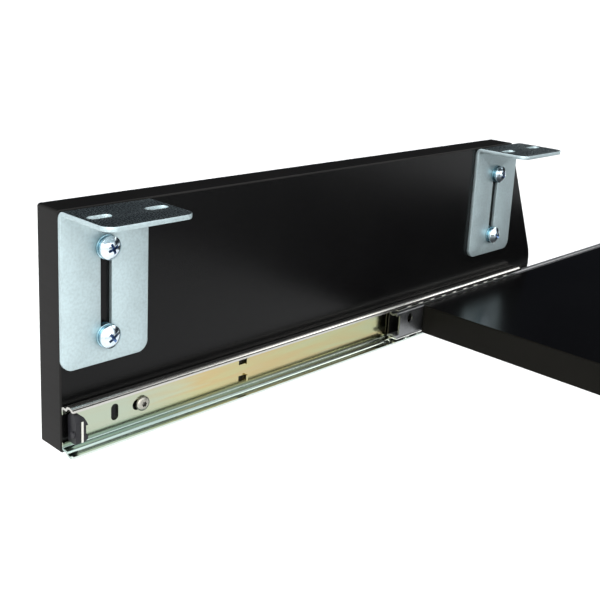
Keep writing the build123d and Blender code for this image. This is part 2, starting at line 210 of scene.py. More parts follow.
def zinc(name, dull, bright, low, high, streaks, depth=0.000012, spot=900.0, flat=None, shaded_web=None):
    """Blue zinc plating: mottled colour, fine rolling marks, small dull spots.

    Flat is the gloss of level faces, shaded web the colour of a web that lies deep in the slide, a painted
    shade.
    """
    material, tree, shader, place = finish(name, 1.0, 0.3)
    mottle = grain(tree, place, 120.0, 5.0, 0.65, 0.4)
    spots = grain(tree, place, spot, 2.0, 0.5)
    rolling = grain(tree, stretched(tree, place, streaks), 1.0, 4.0, 0.6)
    colour = ramp(tree, mottle, [(0.3, dull), (0.7, bright)])
    # Painted shade: the cage's web, deep in the slide, is darkened.
    if shaded_web is not None:
        inward_of_web = calc(tree, "SUBTRACT", inward_of_plate(tree, place), CAGE_WEB_REACH)
        clear = between(tree, inward_of_web, 0.0, 1.0, 0.0002, 0.0014)
        colour = blended(tree, clear, shaded_web, colour)
    speck = ramp(tree, spots, [(0.3, (0.88, 0.88, 0.88)), (0.6, (1.0, 1.0, 1.0))])
    tree.links.new(blended(tree, 1.0, colour, speck, "MULTIPLY"), shader.inputs["Base Color"])
    gloss = between(tree, mottle, low, high, 0.3, 0.7)
    if flat is not None:
        specks = between(tree, grain(tree, place, 1100.0, 2.0, 0.6), flat, flat + 0.22, 0.48, 0.75)
        level = between(tree, levelness(tree), 0.0, 1.0, 0.8, 1.0)
        gloss = node(tree, "ShaderNodeMix", {0: level, 2: gloss, 3: specks}).outputs[0]
    tree.links.new(gloss, shader.inputs["Roughness"])
    pressed = relief(tree, shader, spots, depth, 0.5)
    relief(tree, shader, rolling, depth, 0.35, pressed)
    return material


def slide_chromate():
    """Yellow passivated zinc: bands of straw and peach, greener at the rear, darker in front, partly the
    film's own tint and partly painted shade.

    The bends carry painted light and shade, paler above and darker and bluer below, and the sheared lips and
    bent tongues are pale with a painted highlight.
    """
    material, tree, shader, place = finish("slide_chromate", 1.0, 0.26)
    along = stretched(tree, place, (60.0, 9.0, 130.0))
    bands = grain(tree, along, 1.0, 3.0, 0.55, 0.5)
    straw = ramp(tree, bands, [
        (0.30, (0.41, 0.425, 0.265)),
        (0.43, (0.435, 0.415, 0.225)),
        (0.55, (0.465, 0.370, 0.190)),
        (0.66, (0.43, 0.435, 0.280)),
    ])
    height = axis(tree, place, "Z")
    forward = axis(tree, place, "Y")
    off_plate = inward_of_plate(tree, place)
    at_rear = between(tree, forward, 0.0, 0.9, 0.105, 0.155)
    # Darker toward the front: partly the film's own tint and partly painted shade.
    front_tint_and_shade = between(tree, forward, 1.0, 0.0, -0.06, 0.10)
    web = blended(tree, at_rear, straw, (0.365, 0.417, 0.335))
    web = blended(tree, front_tint_and_shade, web, (0.80, 0.86, 0.90), "MULTIPLY")
    away = calc(tree, "ABSOLUTE", calc(tree, "SUBTRACT", height, SLIDE_MIDDLE))
    at_bend = between(tree, away, 0.0, 1.0, 0.0086, 0.0102)
    # Painted light and shade on the bends: the lower ones darker and bluer, paler toward the front, the
    # upper ones paler, and the lower lips pale as a painted highlight.
    shaded_lower_bend = ramp(tree, bands, [(0.3, (0.25, 0.34, 0.32)), (0.7, (0.39, 0.46, 0.41))])
    shaded_lower_bend = blended(tree, front_tint_and_shade, shaded_lower_bend, (0.44, 0.47, 0.41))
    lit_upper_bend = ramp(tree, bands, [(0.3, (0.42, 0.42, 0.38)), (0.7, (0.52, 0.50, 0.48))])
    upper = between(tree, height, 0.0, 1.0, SLIDE_MIDDLE - 0.001, SLIDE_MIDDLE + 0.001)
    lip_highlight = between(tree, off_plate, 0.0, 1.0, LIP_REACH - 0.0017, LIP_REACH - 0.0013)
    bend_light_and_shade = blended(tree, upper, blended(tree, lip_highlight, shaded_lower_bend, (0.56, 0.62, 0.58)), lit_upper_bend)
    # Painted highlight: the bent tongues are pale.
    tongue_highlight = between(tree, off_plate, 0.0, 1.0, 0.0035, 0.0045)
    web = blended(tree, tongue_highlight, web, (0.66, 0.66, 0.60))
    colour = blended(tree, at_bend, web, bend_light_and_shade)
    tree.links.new(colour, shader.inputs["Base Color"])
    rolling = grain(tree, stretched(tree, place, (900.0, 12.0, 900.0)), 1.0, 3.0, 0.6)
    worked = calc(tree, "MULTIPLY", calc(tree, "MULTIPLY", at_bend, upper), 0.12)
    tree.links.new(calc(tree, "ADD", between(tree, rolling, 0.10, 0.18), worked), shader.inputs["Roughness"])
    relief(tree, shader, rolling, 0.000004, 0.3)
    return material


def moulded_rubber():
    """Black rubber of the bumper: dull, faintly grained."""
    material, tree, shader, place = finish("moulded_rubber", 0.0, 0.5, 0.3)
    cloud = grain(tree, place, 260.0, 3.0, 0.5)
    skin = grain(tree, place, 2600.0, 2.0, 0.5)
    colour = ramp(tree, cloud, [(0.3, (0.003, 0.003, 0.0045)), (0.7, (0.007, 0.007, 0.009))])
    tree.links.new(colour, shader.inputs["Base Color"])
    tree.links.new(between(tree, cloud, 0.38, 0.55), shader.inputs["Roughness"])
    relief(tree, shader, skin, 0.00003, 0.4)
    return material


# Blue zinc of the washers and inserts: its two colours, its two glosses and its rolling marks
BLUE_ZINC = ((0.20, 0.36, 0.42), (0.42, 0.58, 0.64), 0.16, 0.28, (400.0, 400.0, 400.0))

finishes = {
    "black_board": board_black(
        "plate_film", (0.0014, 0.0014, 0.0015), (0.0024, 0.0024, 0.0024), 0.14, 0.21, 0.26,
    ),
    "tray_shelf": board_black(
        "tray_film", (0.0005, 0.0005, 0.0006), (0.0010, 0.0010, 0.0011), 0.30, 0.19, 0.23,
    ),
    "black_edging": edging_black(
        "plate_edging_black", (0.0095, 0.0092, 0.0090), (0.0130, 0.0125, 0.0120), 0.05, 0.45,
    ),
    "tray_edging": edging_black(
        "tray_edging_black", (0.0024, 0.0022, 0.0014), (0.0038, 0.0035, 0.0025), 0.06,
    ),
    "zinc_bracket": zinc(
        "bracket_zinc", (0.43, 0.515, 0.53), (0.48, 0.575, 0.59), 0.54, 0.60, (900.0, 30.0, 30.0),
        spot=700.0, flat=0.24,
    ),
    "zinc_fastener": zinc(
        "screw_zinc", (0.52, 0.62, 0.70), (0.72, 0.82, 0.88), 0.12, 0.22, (400.0, 400.0, 400.0),
    ),
    "insert_brass": zinc("insert_zinc", *BLUE_ZINC),
    "slide_steel": slide_chromate(),
    "wood_screw_steel": zinc(
        "nickel_screw", (0.30, 0.29, 0.25), (0.40, 0.39, 0.34), 0.34, 0.44, (500.0, 500.0, 500.0),
    ),
    "ball_steel": zinc(
        "ball_steel", (0.70, 0.70, 0.70), (0.80, 0.80, 0.81), 0.10, 0.18, (300.0, 300.0, 300.0),
        depth=0.000002,
    ),
    # The cage's web is darkened as a painted shade.
    "cage_steel": zinc(
        "cage_zinc", (0.66, 0.67, 0.64), (0.82, 0.83, 0.80), 0.34, 0.44, (600.0, 20.0, 600.0),
        flat=0.10, shaded_web=(0.07, 0.07, 0.065),
    ),
    "bumper_rubber": moulded_rubber(),
    "inner_steel": zinc(
        "inner_member_zinc", (0.16, 0.165, 0.17), (0.24, 0.245, 0.25), 0.34, 0.42, (900.0, 14.0, 900.0),
        depth=0.000004, flat=0.42,
    ),
}

# Finishes of parts of the fasteners: cross recesses, six-lobe and sunk recesses, and washers; the recesses
# are darker than the heads, partly dirt and partly painted shade.
recess_finish = zinc(
    "recess_shaded_zinc", (0.05, 0.09, 0.18), (0.14, 0.22, 0.38), 0.3, 0.45, (400.0, 400.0, 400.0),
)
drive_finish = zinc(
    "drive_shaded_nickel", (0.07, 0.068, 0.06), (0.16, 0.155, 0.14), 0.3, 0.45, (500.0, 500.0, 500.0),
)
washer_finish = zinc("washer_zinc", *BLUE_ZINC)


def wear_finishes():
    """Give each CAD node the detailed finish of its material slot."""
    for name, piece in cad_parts.items():
        for place in piece.material_slots:
            key = place.material.name.split(".")[0]
            key = name if name in finishes else key
            if key in finishes:
                place.material = finishes[key]


wear_finishes()


# Shapes from named sizes; screws, washers, balls and collars are drawn in millimetres

# A millimetre in metres, and the distance in millimetres within which points of a seam are merged
MILLIMETRE = 0.001
SEAM = 0.002


def sized_tree(name, sizes):
    """Empty tree of shape nodes with named sizes; gives the tree and its inputs by name."""
    tree = bpy.data.node_groups.new(name, "GeometryNodeTree")
    for label, kind in [("Seed", "Geometry")] + list(sizes) + [("Finish", "Material")]:
        tree.interface.new_socket(label, in_out="INPUT", socket_type="NodeSocket" + kind)
    tree.interface.new_socket("Shape", in_out="OUTPUT", socket_type="NodeSocketGeometry")
    start = tree.nodes.new("NodeGroupInput")
    return tree, start.outputs


def coated(tree, shape, material):
    """Shape with a finish put on."""
    return node(tree, "GeometryNodeSetMaterial", {"Geometry": shape, "Material": material}).outputs[0]


def closed_tree(tree, given, shape, recess=None):
    """End a tree: instances made real, the finish put on all but a recess that has its own."""
    real = node(tree, "GeometryNodeRealizeInstances", {"Geometry": shape}).outputs[0]
    values = {"Geometry": real, "Material": given["Finish"]}
    if recess is not None:
        inside = node(tree, "GeometryNodeMaterialSelection", {"Material": recess}).outputs[0]
        values["Selection"] = node(tree, "FunctionNodeBooleanMath", {0: inside}, operation="NOT").outputs[0]
    end = tree.nodes.new("NodeGroupOutput")
    tree.links.new(node(tree, "GeometryNodeSetMaterial", values).outputs[0], end.inputs[0])
    return tree


def picked(tree, index, shares):
    """The share that stands at a place in a list."""
    made = node(tree, "GeometryNodeIndexSwitch", data_type="FLOAT")
    while len(made.index_switch_items) < len(shares):
        made.index_switch_items.new()
    tree.links.new(index, made.inputs["Index"])
    for count, share in enumerate(shares, 1):
        socket = made.inputs[count]
        if isinstance(share, bpy.types.NodeSocket):
            tree.links.new(share, socket)
        else:
            socket.default_value = share
    return made.outputs[0]


def turning(tree, rounds, rows):
    """Sheet of rounds by rows that is to be wrapped about an axis; gives its angle and row."""
    sizes = {"Size X": 1.0, "Size Y": 1.0, "Vertices X": rounds + 1, "Vertices Y": rows}
    sheet = node(tree, "GeometryNodeMeshGrid", sizes).outputs["Mesh"]
    angle = calc(tree, "MULTIPLY", calc(tree, "ADD", axis(tree, here(tree), "X"), 0.5), 2 * math.pi)
    return sheet, angle, calc(tree, "ADD", axis(tree, here(tree), "Y"), 0.5)


def wrapped(tree, sheet, angle, radius, height):
    """The sheet bent round to a closed body, its seam and poles merged."""
    across = calc(tree, "MULTIPLY", radius, calc(tree, "COSINE", angle))
    aside = calc(tree, "MULTIPLY", radius, calc(tree, "SINE", angle))
    round_about = triple(tree, across, aside, height)
    bent = node(tree, "GeometryNodeSetPosition", {"Geometry": sheet, "Position": round_about}).outputs[0]
    return node(tree, "GeometryNodeMergeByDistance", {"Geometry": bent, "Distance": SEAM}).outputs[0]


def spun(tree, width, height, outline, rounds=48, lobes=0, lobe_depth=0.0):
    """Turned body from an outline of shares of its radius and height, low to high, outer side right."""
    sheet, angle, along = turning(tree, rounds, len(outline))
    row = calc(tree, "ROUND", calc(tree, "MULTIPLY", along, float(len(outline) - 1)))
    radius = calc(tree, "MULTIPLY", width, picked(tree, row, [share for share, level in outline]))
    if lobes:
        wave = calc(tree, "COSINE", calc(tree, "MULTIPLY", angle, float(lobes)))
        swell = calc(tree, "ADD", calc(tree, "MULTIPLY", wave, lobe_depth), 1.0)
        radius = calc(tree, "MULTIPLY", radius, swell)
    level = calc(tree, "MULTIPLY", height, picked(tree, row, [level for share, level in outline]))
    return wrapped(tree, sheet, angle, radius, level)


def threaded(tree, radius, length, pitch, depth, rounds=24):
    """Threaded shank that runs down from zero, with a blunt point."""
    rows_per_turn = 4.0
    rows = calc(tree, "CEIL", calc(tree, "MULTIPLY", calc(tree, "DIVIDE", length, pitch), rows_per_turn))
    sheet, angle, along = turning(tree, rounds, rows)
    level = calc(tree, "MULTIPLY", calc(tree, "SUBTRACT", along, 1.0), length)
    round_share = calc(tree, "DIVIDE", angle, 2 * math.pi)
    turn = calc(tree, "SUBTRACT", calc(tree, "DIVIDE", level, pitch), round_share)
    ridge = calc(tree, "PINGPONG", turn, 0.5)
    cut = calc(tree, "MULTIPLY", calc(tree, "MULTIPLY", ridge, 2.0), depth)
    point = between(tree, along, 0.35, 1.0, 0.0, 0.12)
    body = calc(tree, "MULTIPLY", calc(tree, "SUBTRACT", radius, cut), point)
    above_end = calc(tree, "GREATER_THAN", along, 0.001)
    below_end = calc(tree, "LESS_THAN", along, 0.999)
    inside = calc(tree, "MULTIPLY", above_end, below_end)
    return wrapped(tree, sheet, angle, calc(tree, "MULTIPLY", body, inside), level)


def shifted(tree, shape, place=(0.0, 0.0, 0.0), turn=(0.0, 0.0, 0.0), scale=(1.0, 1.0, 1.0)):
    """Shape moved, turned and scaled."""
    values = {"Geometry": shape, "Translation": place, "Rotation": turn, "Scale": scale}
    return node(tree, "GeometryNodeTransform", values).outputs[0]


def joined(tree, shapes):
    """Several shapes as one."""
    made = node(tree, "GeometryNodeJoinGeometry")
    for shape in shapes:
        tree.links.new(shape, made.inputs[0])
    return made.outputs[0]


def carved(tree, body, bits):
    """Body with the bits cut out of it."""
    made = node(tree, "GeometryNodeMeshBoolean", operation="DIFFERENCE", solver="EXACT")
    tree.links.new(body, made.inputs["Mesh 1"])
    for bit in bits:
        tree.links.new(bit, made.inputs["Mesh 2"])
    return made.outputs["Mesh"]


def fin(tree, reach, width, depth, top, turn):
    """Tapered fin of a driver's cross, its upper face at the given height."""
    block = node(tree, "GeometryNodeMeshCube", {"Size": triple(tree, reach, width, depth)}).outputs["Mesh"]
    x, y, z = (axis(tree, here(tree), letter) for letter in "XYZ")
    share = calc(tree, "ADD", calc(tree, "DIVIDE", z, depth), 0.5)
    along = calc(tree, "ADD", calc(tree, "MULTIPLY", share, 0.5), 0.5)
    across = calc(tree, "ADD", calc(tree, "MULTIPLY", share, 0.35), 0.65)
    narrowed = triple(tree, calc(tree, "MULTIPLY", x, along), calc(tree, "MULTIPLY", y, across), z)
    tapered = node(tree, "GeometryNodeSetPosition", {"Geometry": block, "Position": narrowed}).outputs[0]
    sunk = calc(tree, "SUBTRACT", top, calc(tree, "MULTIPLY", depth, 0.5))
    return shifted(tree, tapered, triple(tree, 0.0, 0.0, sunk), (0.0, 0.0, turn))


def swept(tree, rail, width, height, rounding, steps):
    """Bar with rounded corners swept along a level curve."""
    rail = node(tree, "GeometryNodeSetCurveNormal", {"Curve": rail}, mode="Z_UP").outputs[0]
    sizes = {"Width": width, "Height": height}
    bar = node(tree, "GeometryNodeCurvePrimitiveQuadrilateral", sizes).outputs[0]
    values = {"Curve": bar, "Count": steps, "Radius": rounding}
    bar = node(tree, "GeometryNodeFilletCurve", values, mode="POLY").outputs[0]
    values = {"Curve": rail, "Profile Curve": bar, "Fill Caps": True}
    return node(tree, "GeometryNodeCurveToMesh", values).outputs[0]


def spread(tree, count, x, y, z):
    """Points at worked-out places."""
    values = {"Count": count, "Position": triple(tree, x, y, z), "Radius": MILLIMETRE}
    return node(tree, "GeometryNodePoints", values).outputs[0]


def stood(tree, points, shape, turn):
    """The shape, drawn in millimetres, set on each point and turned."""
    small = shifted(tree, shape, scale=(MILLIMETRE, MILLIMETRE, MILLIMETRE))
    values = {"Points": points, "Instance": small, "Rotation": turn}
    return node(tree, "GeometryNodeInstanceOnPoints", values).outputs[0]


def inward(tree, side, spin=0.0):
    """Turn that lays an upright piece along the side's inward axis, with a spin of its own."""
    lean = calc(tree, "MULTIPLY", side, -math.pi / 2)
    upright = node(tree, "FunctionNodeEulerToRotation", {"Euler": triple(tree, 0.0, 0.0, spin)}).outputs[0]
    lay = node(tree, "FunctionNodeEulerToRotation", {"Euler": triple(tree, 0.0, lean, 0.0)}).outputs[0]
    values = {"Rotation": upright, "Rotate By": lay}
    return node(tree, "FunctionNodeRotateRotation", values, rotation_space="GLOBAL").outputs[0]


def bracket_places(tree, given):
    """Points off the plate's face for the four bracket screws: the rear's low and high, then the front's."""
    x = calc(tree, "MULTIPLY", given["Side"], calc(tree, "SUBTRACT", given["Face"], given["Seat"]))
    bracket = calc(tree, "FLOOR", calc(tree, "DIVIDE", number(tree), 2.0))
    y = picked(tree, bracket, [given["Rear"], given["Front"]])
    z = picked(tree, calc(tree, "MODULO", number(tree), 2.0), [given["Low"], given["High"]])
    return spread(tree, 4, x, y, z)


def ball_places(tree, given, rise=0.0):
    """Points at the balls' middles in a lower and an upper row, or further out by a rise."""
    row = calc(tree, "FLOOR", calc(tree, "DIVIDE", number(tree), given["In a Row"]))
    step = calc(tree, "MODULO", number(tree), given["In a Row"])
    x = calc(tree, "MULTIPLY", given["Side"], given["Place Inward"])
    y = calc(tree, "SUBTRACT", given["First Place"], calc(tree, "MULTIPLY", step, given["Pitch"]))
    way = calc(tree, "SUBTRACT", calc(tree, "MULTIPLY", row, 2.0), 1.0)
    out = calc(tree, "MULTIPLY", way, calc(tree, "ADD", given["Spread"], rise))
    z = calc(tree, "ADD", given["Middle"], out)
    return spread(tree, calc(tree, "MULTIPLY", given["In a Row"], 2.0), x, y, z)


def grown(name, tree, sizes, material, body, replaced, sharp=40.0, recess=None, solid=None):
    """Run a tree once with its sizes, keep the result as a plain mesh and set it on its body.

    Recess is the finish of the recesses, and solid the mesh that a tree adds its shapes to.
    """
    seed = bpy.data.objects.new(name + "_seed", solid or bpy.data.meshes.new(name + "_seed"))
    bpy.context.scene.collection.objects.link(seed)
    work = seed.modifiers.new("shape", "NODES")
    work.node_group = tree
    given = {**sizes, "Finish": material, "Recess Finish": recess}
    for item in tree.interface.items_tree:
        if item.in_out == "INPUT" and item.name in given:
            work[item.identifier] = given[item.name]
    result = seed.evaluated_get(bpy.context.evaluated_depsgraph_get())
    mesh = bpy.data.meshes.new_from_object(result)
    seed.modifiers.clear()
    bpy.data.objects.remove(seed)
    return placed(name, mesh, body, replaced, sharp)


def placed(name, mesh, body, replaced, sharp=40.0):
    """Put a finished mesh in the scene on its body, in place of a node."""
    mesh.name = name
    mesh.shade_smooth()
    mesh.set_sharp_from_angle(angle=math.radians(sharp))
    piece = bpy.data.objects.new(name, mesh)
    bpy.context.scene.collection.objects.link(piece)
    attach(piece, body)
    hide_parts(replaced)
    return piece


# Outlines as shares of radius and height, from the axis below, round the outer side, to the axis above
PAN_HEAD = [
    (0.0, 0.0), (0.50, 0.0), (0.95, 0.0), (0.985, 0.03), (1.0, 0.08), (1.0, 0.27), (0.99, 0.33),
    (0.965, 0.37), (0.917, 0.43), (0.833, 0.542), (0.75, 0.64), (0.667, 0.719), (0.583, 0.788),
    (0.50, 0.847), (0.417, 0.896), (0.333, 0.933), (0.25, 0.961), (0.167, 0.9835), (0.083, 0.995),
    (0.0, 1.0),
]
RING = [
    (0.528, 0.0), (0.96, 0.0), (0.99, 0.08), (1.0, 0.3), (1.0, 0.7), (0.99, 0.92), (0.96, 1.0),
    (0.55, 1.0), (0.528, 0.9), (0.528, 0.0),
]
BUTTON_HEAD = [
    (0.0, 0.0), (0.5, 0.0), (0.96, 0.0), (1.0, 0.06), (1.0, 0.42), (0.99, 0.50), (0.96, 0.57), (0.91, 0.66),
    (0.82, 0.77), (0.70, 0.86), (0.55, 0.92), (0.40, 0.955), (0.20, 0.985), (0.0, 1.0),
]
SUNK_HEAD = [
    (0.0, 0.0), (0.513, 0.0), (0.97, 0.885), (0.995, 0.92), (1.0, 0.95), (0.985, 1.0), (0.6, 1.0),
    (0.0, 1.0),
]
PLUG = [(0.0, 0.0), (0.85, 0.0), (1.0, 1.0), (0.0, 1.0)]
PIT = [(0.0, 0.0), (0.7, 0.0), (1.0, 1.0), (0.0, 1.0)]

# Turns of the bracket screws' crosses and of the washers' splits, as they came to rest
CROSS_TURNS = [0.62, 0.40, 0.95, 0.75]
SPLIT_TURNS = [2.4, 3.5, 2.0, 4.1]


def floats(*labels):
    """Named sizes that are plain numbers."""
    return [(label, "Float") for label in labels]


BRACKET_SIZES = floats("Seat", "Face", "Rear", "Front", "Low", "High", "Side")
SHANK_SIZES = floats("Shank Radius", "Shank Length", "Thread Pitch", "Thread Depth")
CROSS_SIZES = floats("Cross Reach", "Cross Width", "Cross Depth")
ROW_SIZES = floats("First Place", "Pitch", "Spread", "Middle", "Place Inward", "Side")
ROW_SIZES += [("In a Row", "Int")]


def shank_of(tree, given, rounds=24, low=0.15):
    """Threaded shank from its named sizes, a little way up into the head."""
    sizes = [given[label] for label, kind in SHANK_SIZES]
    shank = shifted(tree, threaded(tree, *sizes, rounds), triple(tree, 0.0, 0.0, low))
    return coated(tree, shank, given["Finish"])


def cross_of(tree, given, brim, proud):
    """Two fins of a cross that cut into a head and stand proud of it by a little."""
    depth = calc(tree, "ADD", given["Cross Depth"], proud)
    return [
        fin(tree, given["Cross Reach"], given["Cross Width"], depth, brim, turn)
        for turn in (0.0, math.pi / 2)
    ]


def pan_screw_tree():
    """Pan-head machine screws with a cross recess and a thread, at two heights on two brackets."""
    sizes = floats("Head Radius", "Head Height") + SHANK_SIZES + CROSS_SIZES + BRACKET_SIZES
    tree, given = sized_tree("pan_screws", sizes + [("Recess Finish", "Material")])
    proud = 0.6
    head = spun(tree, given["Head Radius"], given["Head Height"], PAN_HEAD)
    brim = calc(tree, "ADD", given["Head Height"], proud)
    bits = cross_of(tree, given, brim, proud)
    depth = calc(tree, "ADD", given["Cross Depth"], proud)
    pit_radius = 1.25
    pit = spun(tree, pit_radius, depth, PIT, 16)
    bits.append(shifted(tree, pit, triple(tree, 0.0, 0.0, calc(tree, "SUBTRACT", brim, depth))))
    bits = [coated(tree, bit, given["Recess Finish"]) for bit in bits]
    head = carved(tree, coated(tree, head, given["Finish"]), bits)
    screw = joined(tree, [head, shank_of(tree, given, low=0.2)])
    turn = inward(tree, given["Side"], picked(tree, number(tree), CROSS_TURNS))
    set_in = stood(tree, bracket_places(tree, given), screw, turn)
    return closed_tree(tree, given, set_in, given["Recess Finish"])


def flat_ring(tree, given):
    """Plain washer."""
    return spun(tree, given["Outer Radius"], given["Thickness"], RING)


def split_ring(tree, given):
    """Washer cut through and sprung open, with one end lifted."""
    middle = calc(tree, "MULTIPLY", calc(tree, "ADD", given["Outer Radius"], given["Bore Radius"]), 0.5)
    width = calc(tree, "SUBTRACT", given["Outer Radius"], given["Bore Radius"])
    thickness = calc(tree, "SUBTRACT", given["Thickness"], given["Lift"])
    values = {"Resolution": 64, "Rotations": 0.962, "Start Radius": middle, "End Radius": middle}
    rail = node(tree, "GeometryNodeCurveSpiral", dict(values, Height=given["Lift"])).outputs[0]
    ring = swept(tree, rail, width, thickness, 0.22, 3)
    return shifted(tree, ring, triple(tree, 0.0, 0.0, calc(tree, "MULTIPLY", thickness, 0.5)))


def washer_tree(name, shape_of):
    """Washers under the four bracket screws, of one of the two kinds above."""
    sizes = floats("Outer Radius", "Bore Radius", "Thickness", "Lift") + BRACKET_SIZES
    tree, given = sized_tree(name, sizes)
    turn = inward(tree, given["Side"], picked(tree, number(tree), SPLIT_TURNS))
    set_in = stood(tree, bracket_places(tree, given), shape_of(tree, given), turn)
    return closed_tree(tree, given, set_in)


def slide_screw_tree():
    """Screws that hold the slide: a button head at the rear, sunk heads ahead of it, all six-lobed."""
    sizes = floats("Button Radius", "Button Height", "Sunk Radius", "Sunk Height") + SHANK_SIZES
    sizes += floats("Drive Radius", "Drive Depth", "Sheet", "Face", "Button Place")
    sizes += floats("First Sunk Place", "Second Sunk Place", "Height", "Side")
    tree, given = sized_tree("slide_screws", sizes + [("Recess Finish", "Material")])
    depth = calc(tree, "ADD", given["Drive Depth"], 0.4)
    plug = spun(tree, given["Drive Radius"], depth, PLUG, 48, 6, 0.16)
    plug = coated(tree, plug, given["Recess Finish"])
    shank = shank_of(tree, given, 18)

    def headed(radius, height, outline, low):
        head = coated(tree, spun(tree, radius, height, outline), given["Finish"])
        foot = calc(tree, "SUBTRACT", height, given["Drive Depth"])
        head = carved(tree, head, [shifted(tree, plug, triple(tree, 0.0, 0.0, foot))])
        return shifted(tree, joined(tree, [head, shank]), triple(tree, 0.0, 0.0, low))

    sunk_low = calc(tree, "SUBTRACT", given["Sheet"], given["Sunk Height"])
    button = headed(given["Button Radius"], given["Button Height"], BUTTON_HEAD, given["Sheet"])
    sunk = headed(given["Sunk Radius"], given["Sunk Height"], SUNK_HEAD, sunk_low)
    x = calc(tree, "MULTIPLY", given["Side"], given["Face"])
    ahead = picked(tree, number(tree), [given["First Sunk Place"], given["Second Sunk Place"]])
    turn = inward(tree, given["Side"], 0.5)
    shapes = [
        stood(tree, spread(tree, 1, x, given["Button Place"], given["Height"]), button, turn),
        stood(tree, spread(tree, 2, x, ahead, given["Height"]), sunk, turn),
    ]
    return closed_tree(tree, given, joined(tree, shapes), given["Recess Finish"])


def tray_screw_tree():
    """Sunk screws with a cross, evenly spaced, that hold the tray to the inner member."""
    sizes = floats("Head Radius", "Head Height") + SHANK_SIZES + CROSS_SIZES
    sizes += floats("Head Face", "First Place", "Pitch", "Height", "Side")
    tree, given = sized_tree("tray_screws", sizes + [("Count", "Int"), ("Recess Finish", "Material")])
    proud = 0.3
    head = coated(tree, spun(tree, given["Head Radius"], given["Head Height"], SUNK_HEAD), given["Finish"])
    bits = cross_of(tree, given, calc(tree, "ADD", given["Head Height"], proud), proud)
    head = carved(tree, head, [coated(tree, bit, given["Recess Finish"]) for bit in bits])
    sunk = calc(tree, "MULTIPLY", given["Head Height"], -1.0)
    screw = shifted(tree, joined(tree, [head, shank_of(tree, given, 18)]), triple(tree, 0.0, 0.0, sunk))
    x = calc(tree, "MULTIPLY", given["Side"], given["Head Face"])
    back = calc(tree, "MULTIPLY", number(tree), given["Pitch"])
    y = calc(tree, "SUBTRACT", given["First Place"], back)
    points = spread(tree, given["Count"], x, y, given["Height"])
    facing = calc(tree, "MULTIPLY", given["Side"], -1.0)
    spin = calc(tree, "ADD", calc(tree, "MULTIPLY", number(tree), 0.7), 0.3)
    set_in = stood(tree, points, screw, inward(tree, facing, spin))
    return closed_tree(tree, given, set_in, given["Recess Finish"])


def ball_tree():
    """Two rows of balls in step along the cage."""
    tree, given = sized_tree("bearing_balls", floats("Ball Radius") + ROW_SIZES)
    values = {"Segments": 24, "Rings": 14, "Radius": given["Ball Radius"]}
    ball = node(tree, "GeometryNodeMeshUVSphere", values).outputs[0]
    return closed_tree(tree, given, stood(tree, ball_places(tree, given), ball, (0.3, 0.2, 0.0)))


def seat_tree():
    """Cage as its solid has it, with a low half collar pressed up round the open side of each ball."""
    sizes = floats("Collar Radius", "Collar Wall", "Collar Height", "Collar Rise")
    tree, given = sized_tree("ball_seats", ROW_SIZES + sizes)
    values = {"Resolution": 20, "Radius": given["Collar Radius"], "Start Angle": 0.0, "Sweep Angle": math.pi}
    rail = node(tree, "GeometryNodeCurveArc", values, mode="RADIUS").outputs["Curve"]
    collar = swept(tree, rail, given["Collar Wall"], given["Collar Height"], 0.12, 2)
    turn = triple(tree, 0.0, 0.0, calc(tree, "MULTIPLY", given["Side"], math.pi / 2))
    collars = stood(tree, ball_places(tree, given, given["Collar Rise"]), collar, turn)
    return closed_tree(tree, given, joined(tree, [given["Seed"], collars]))


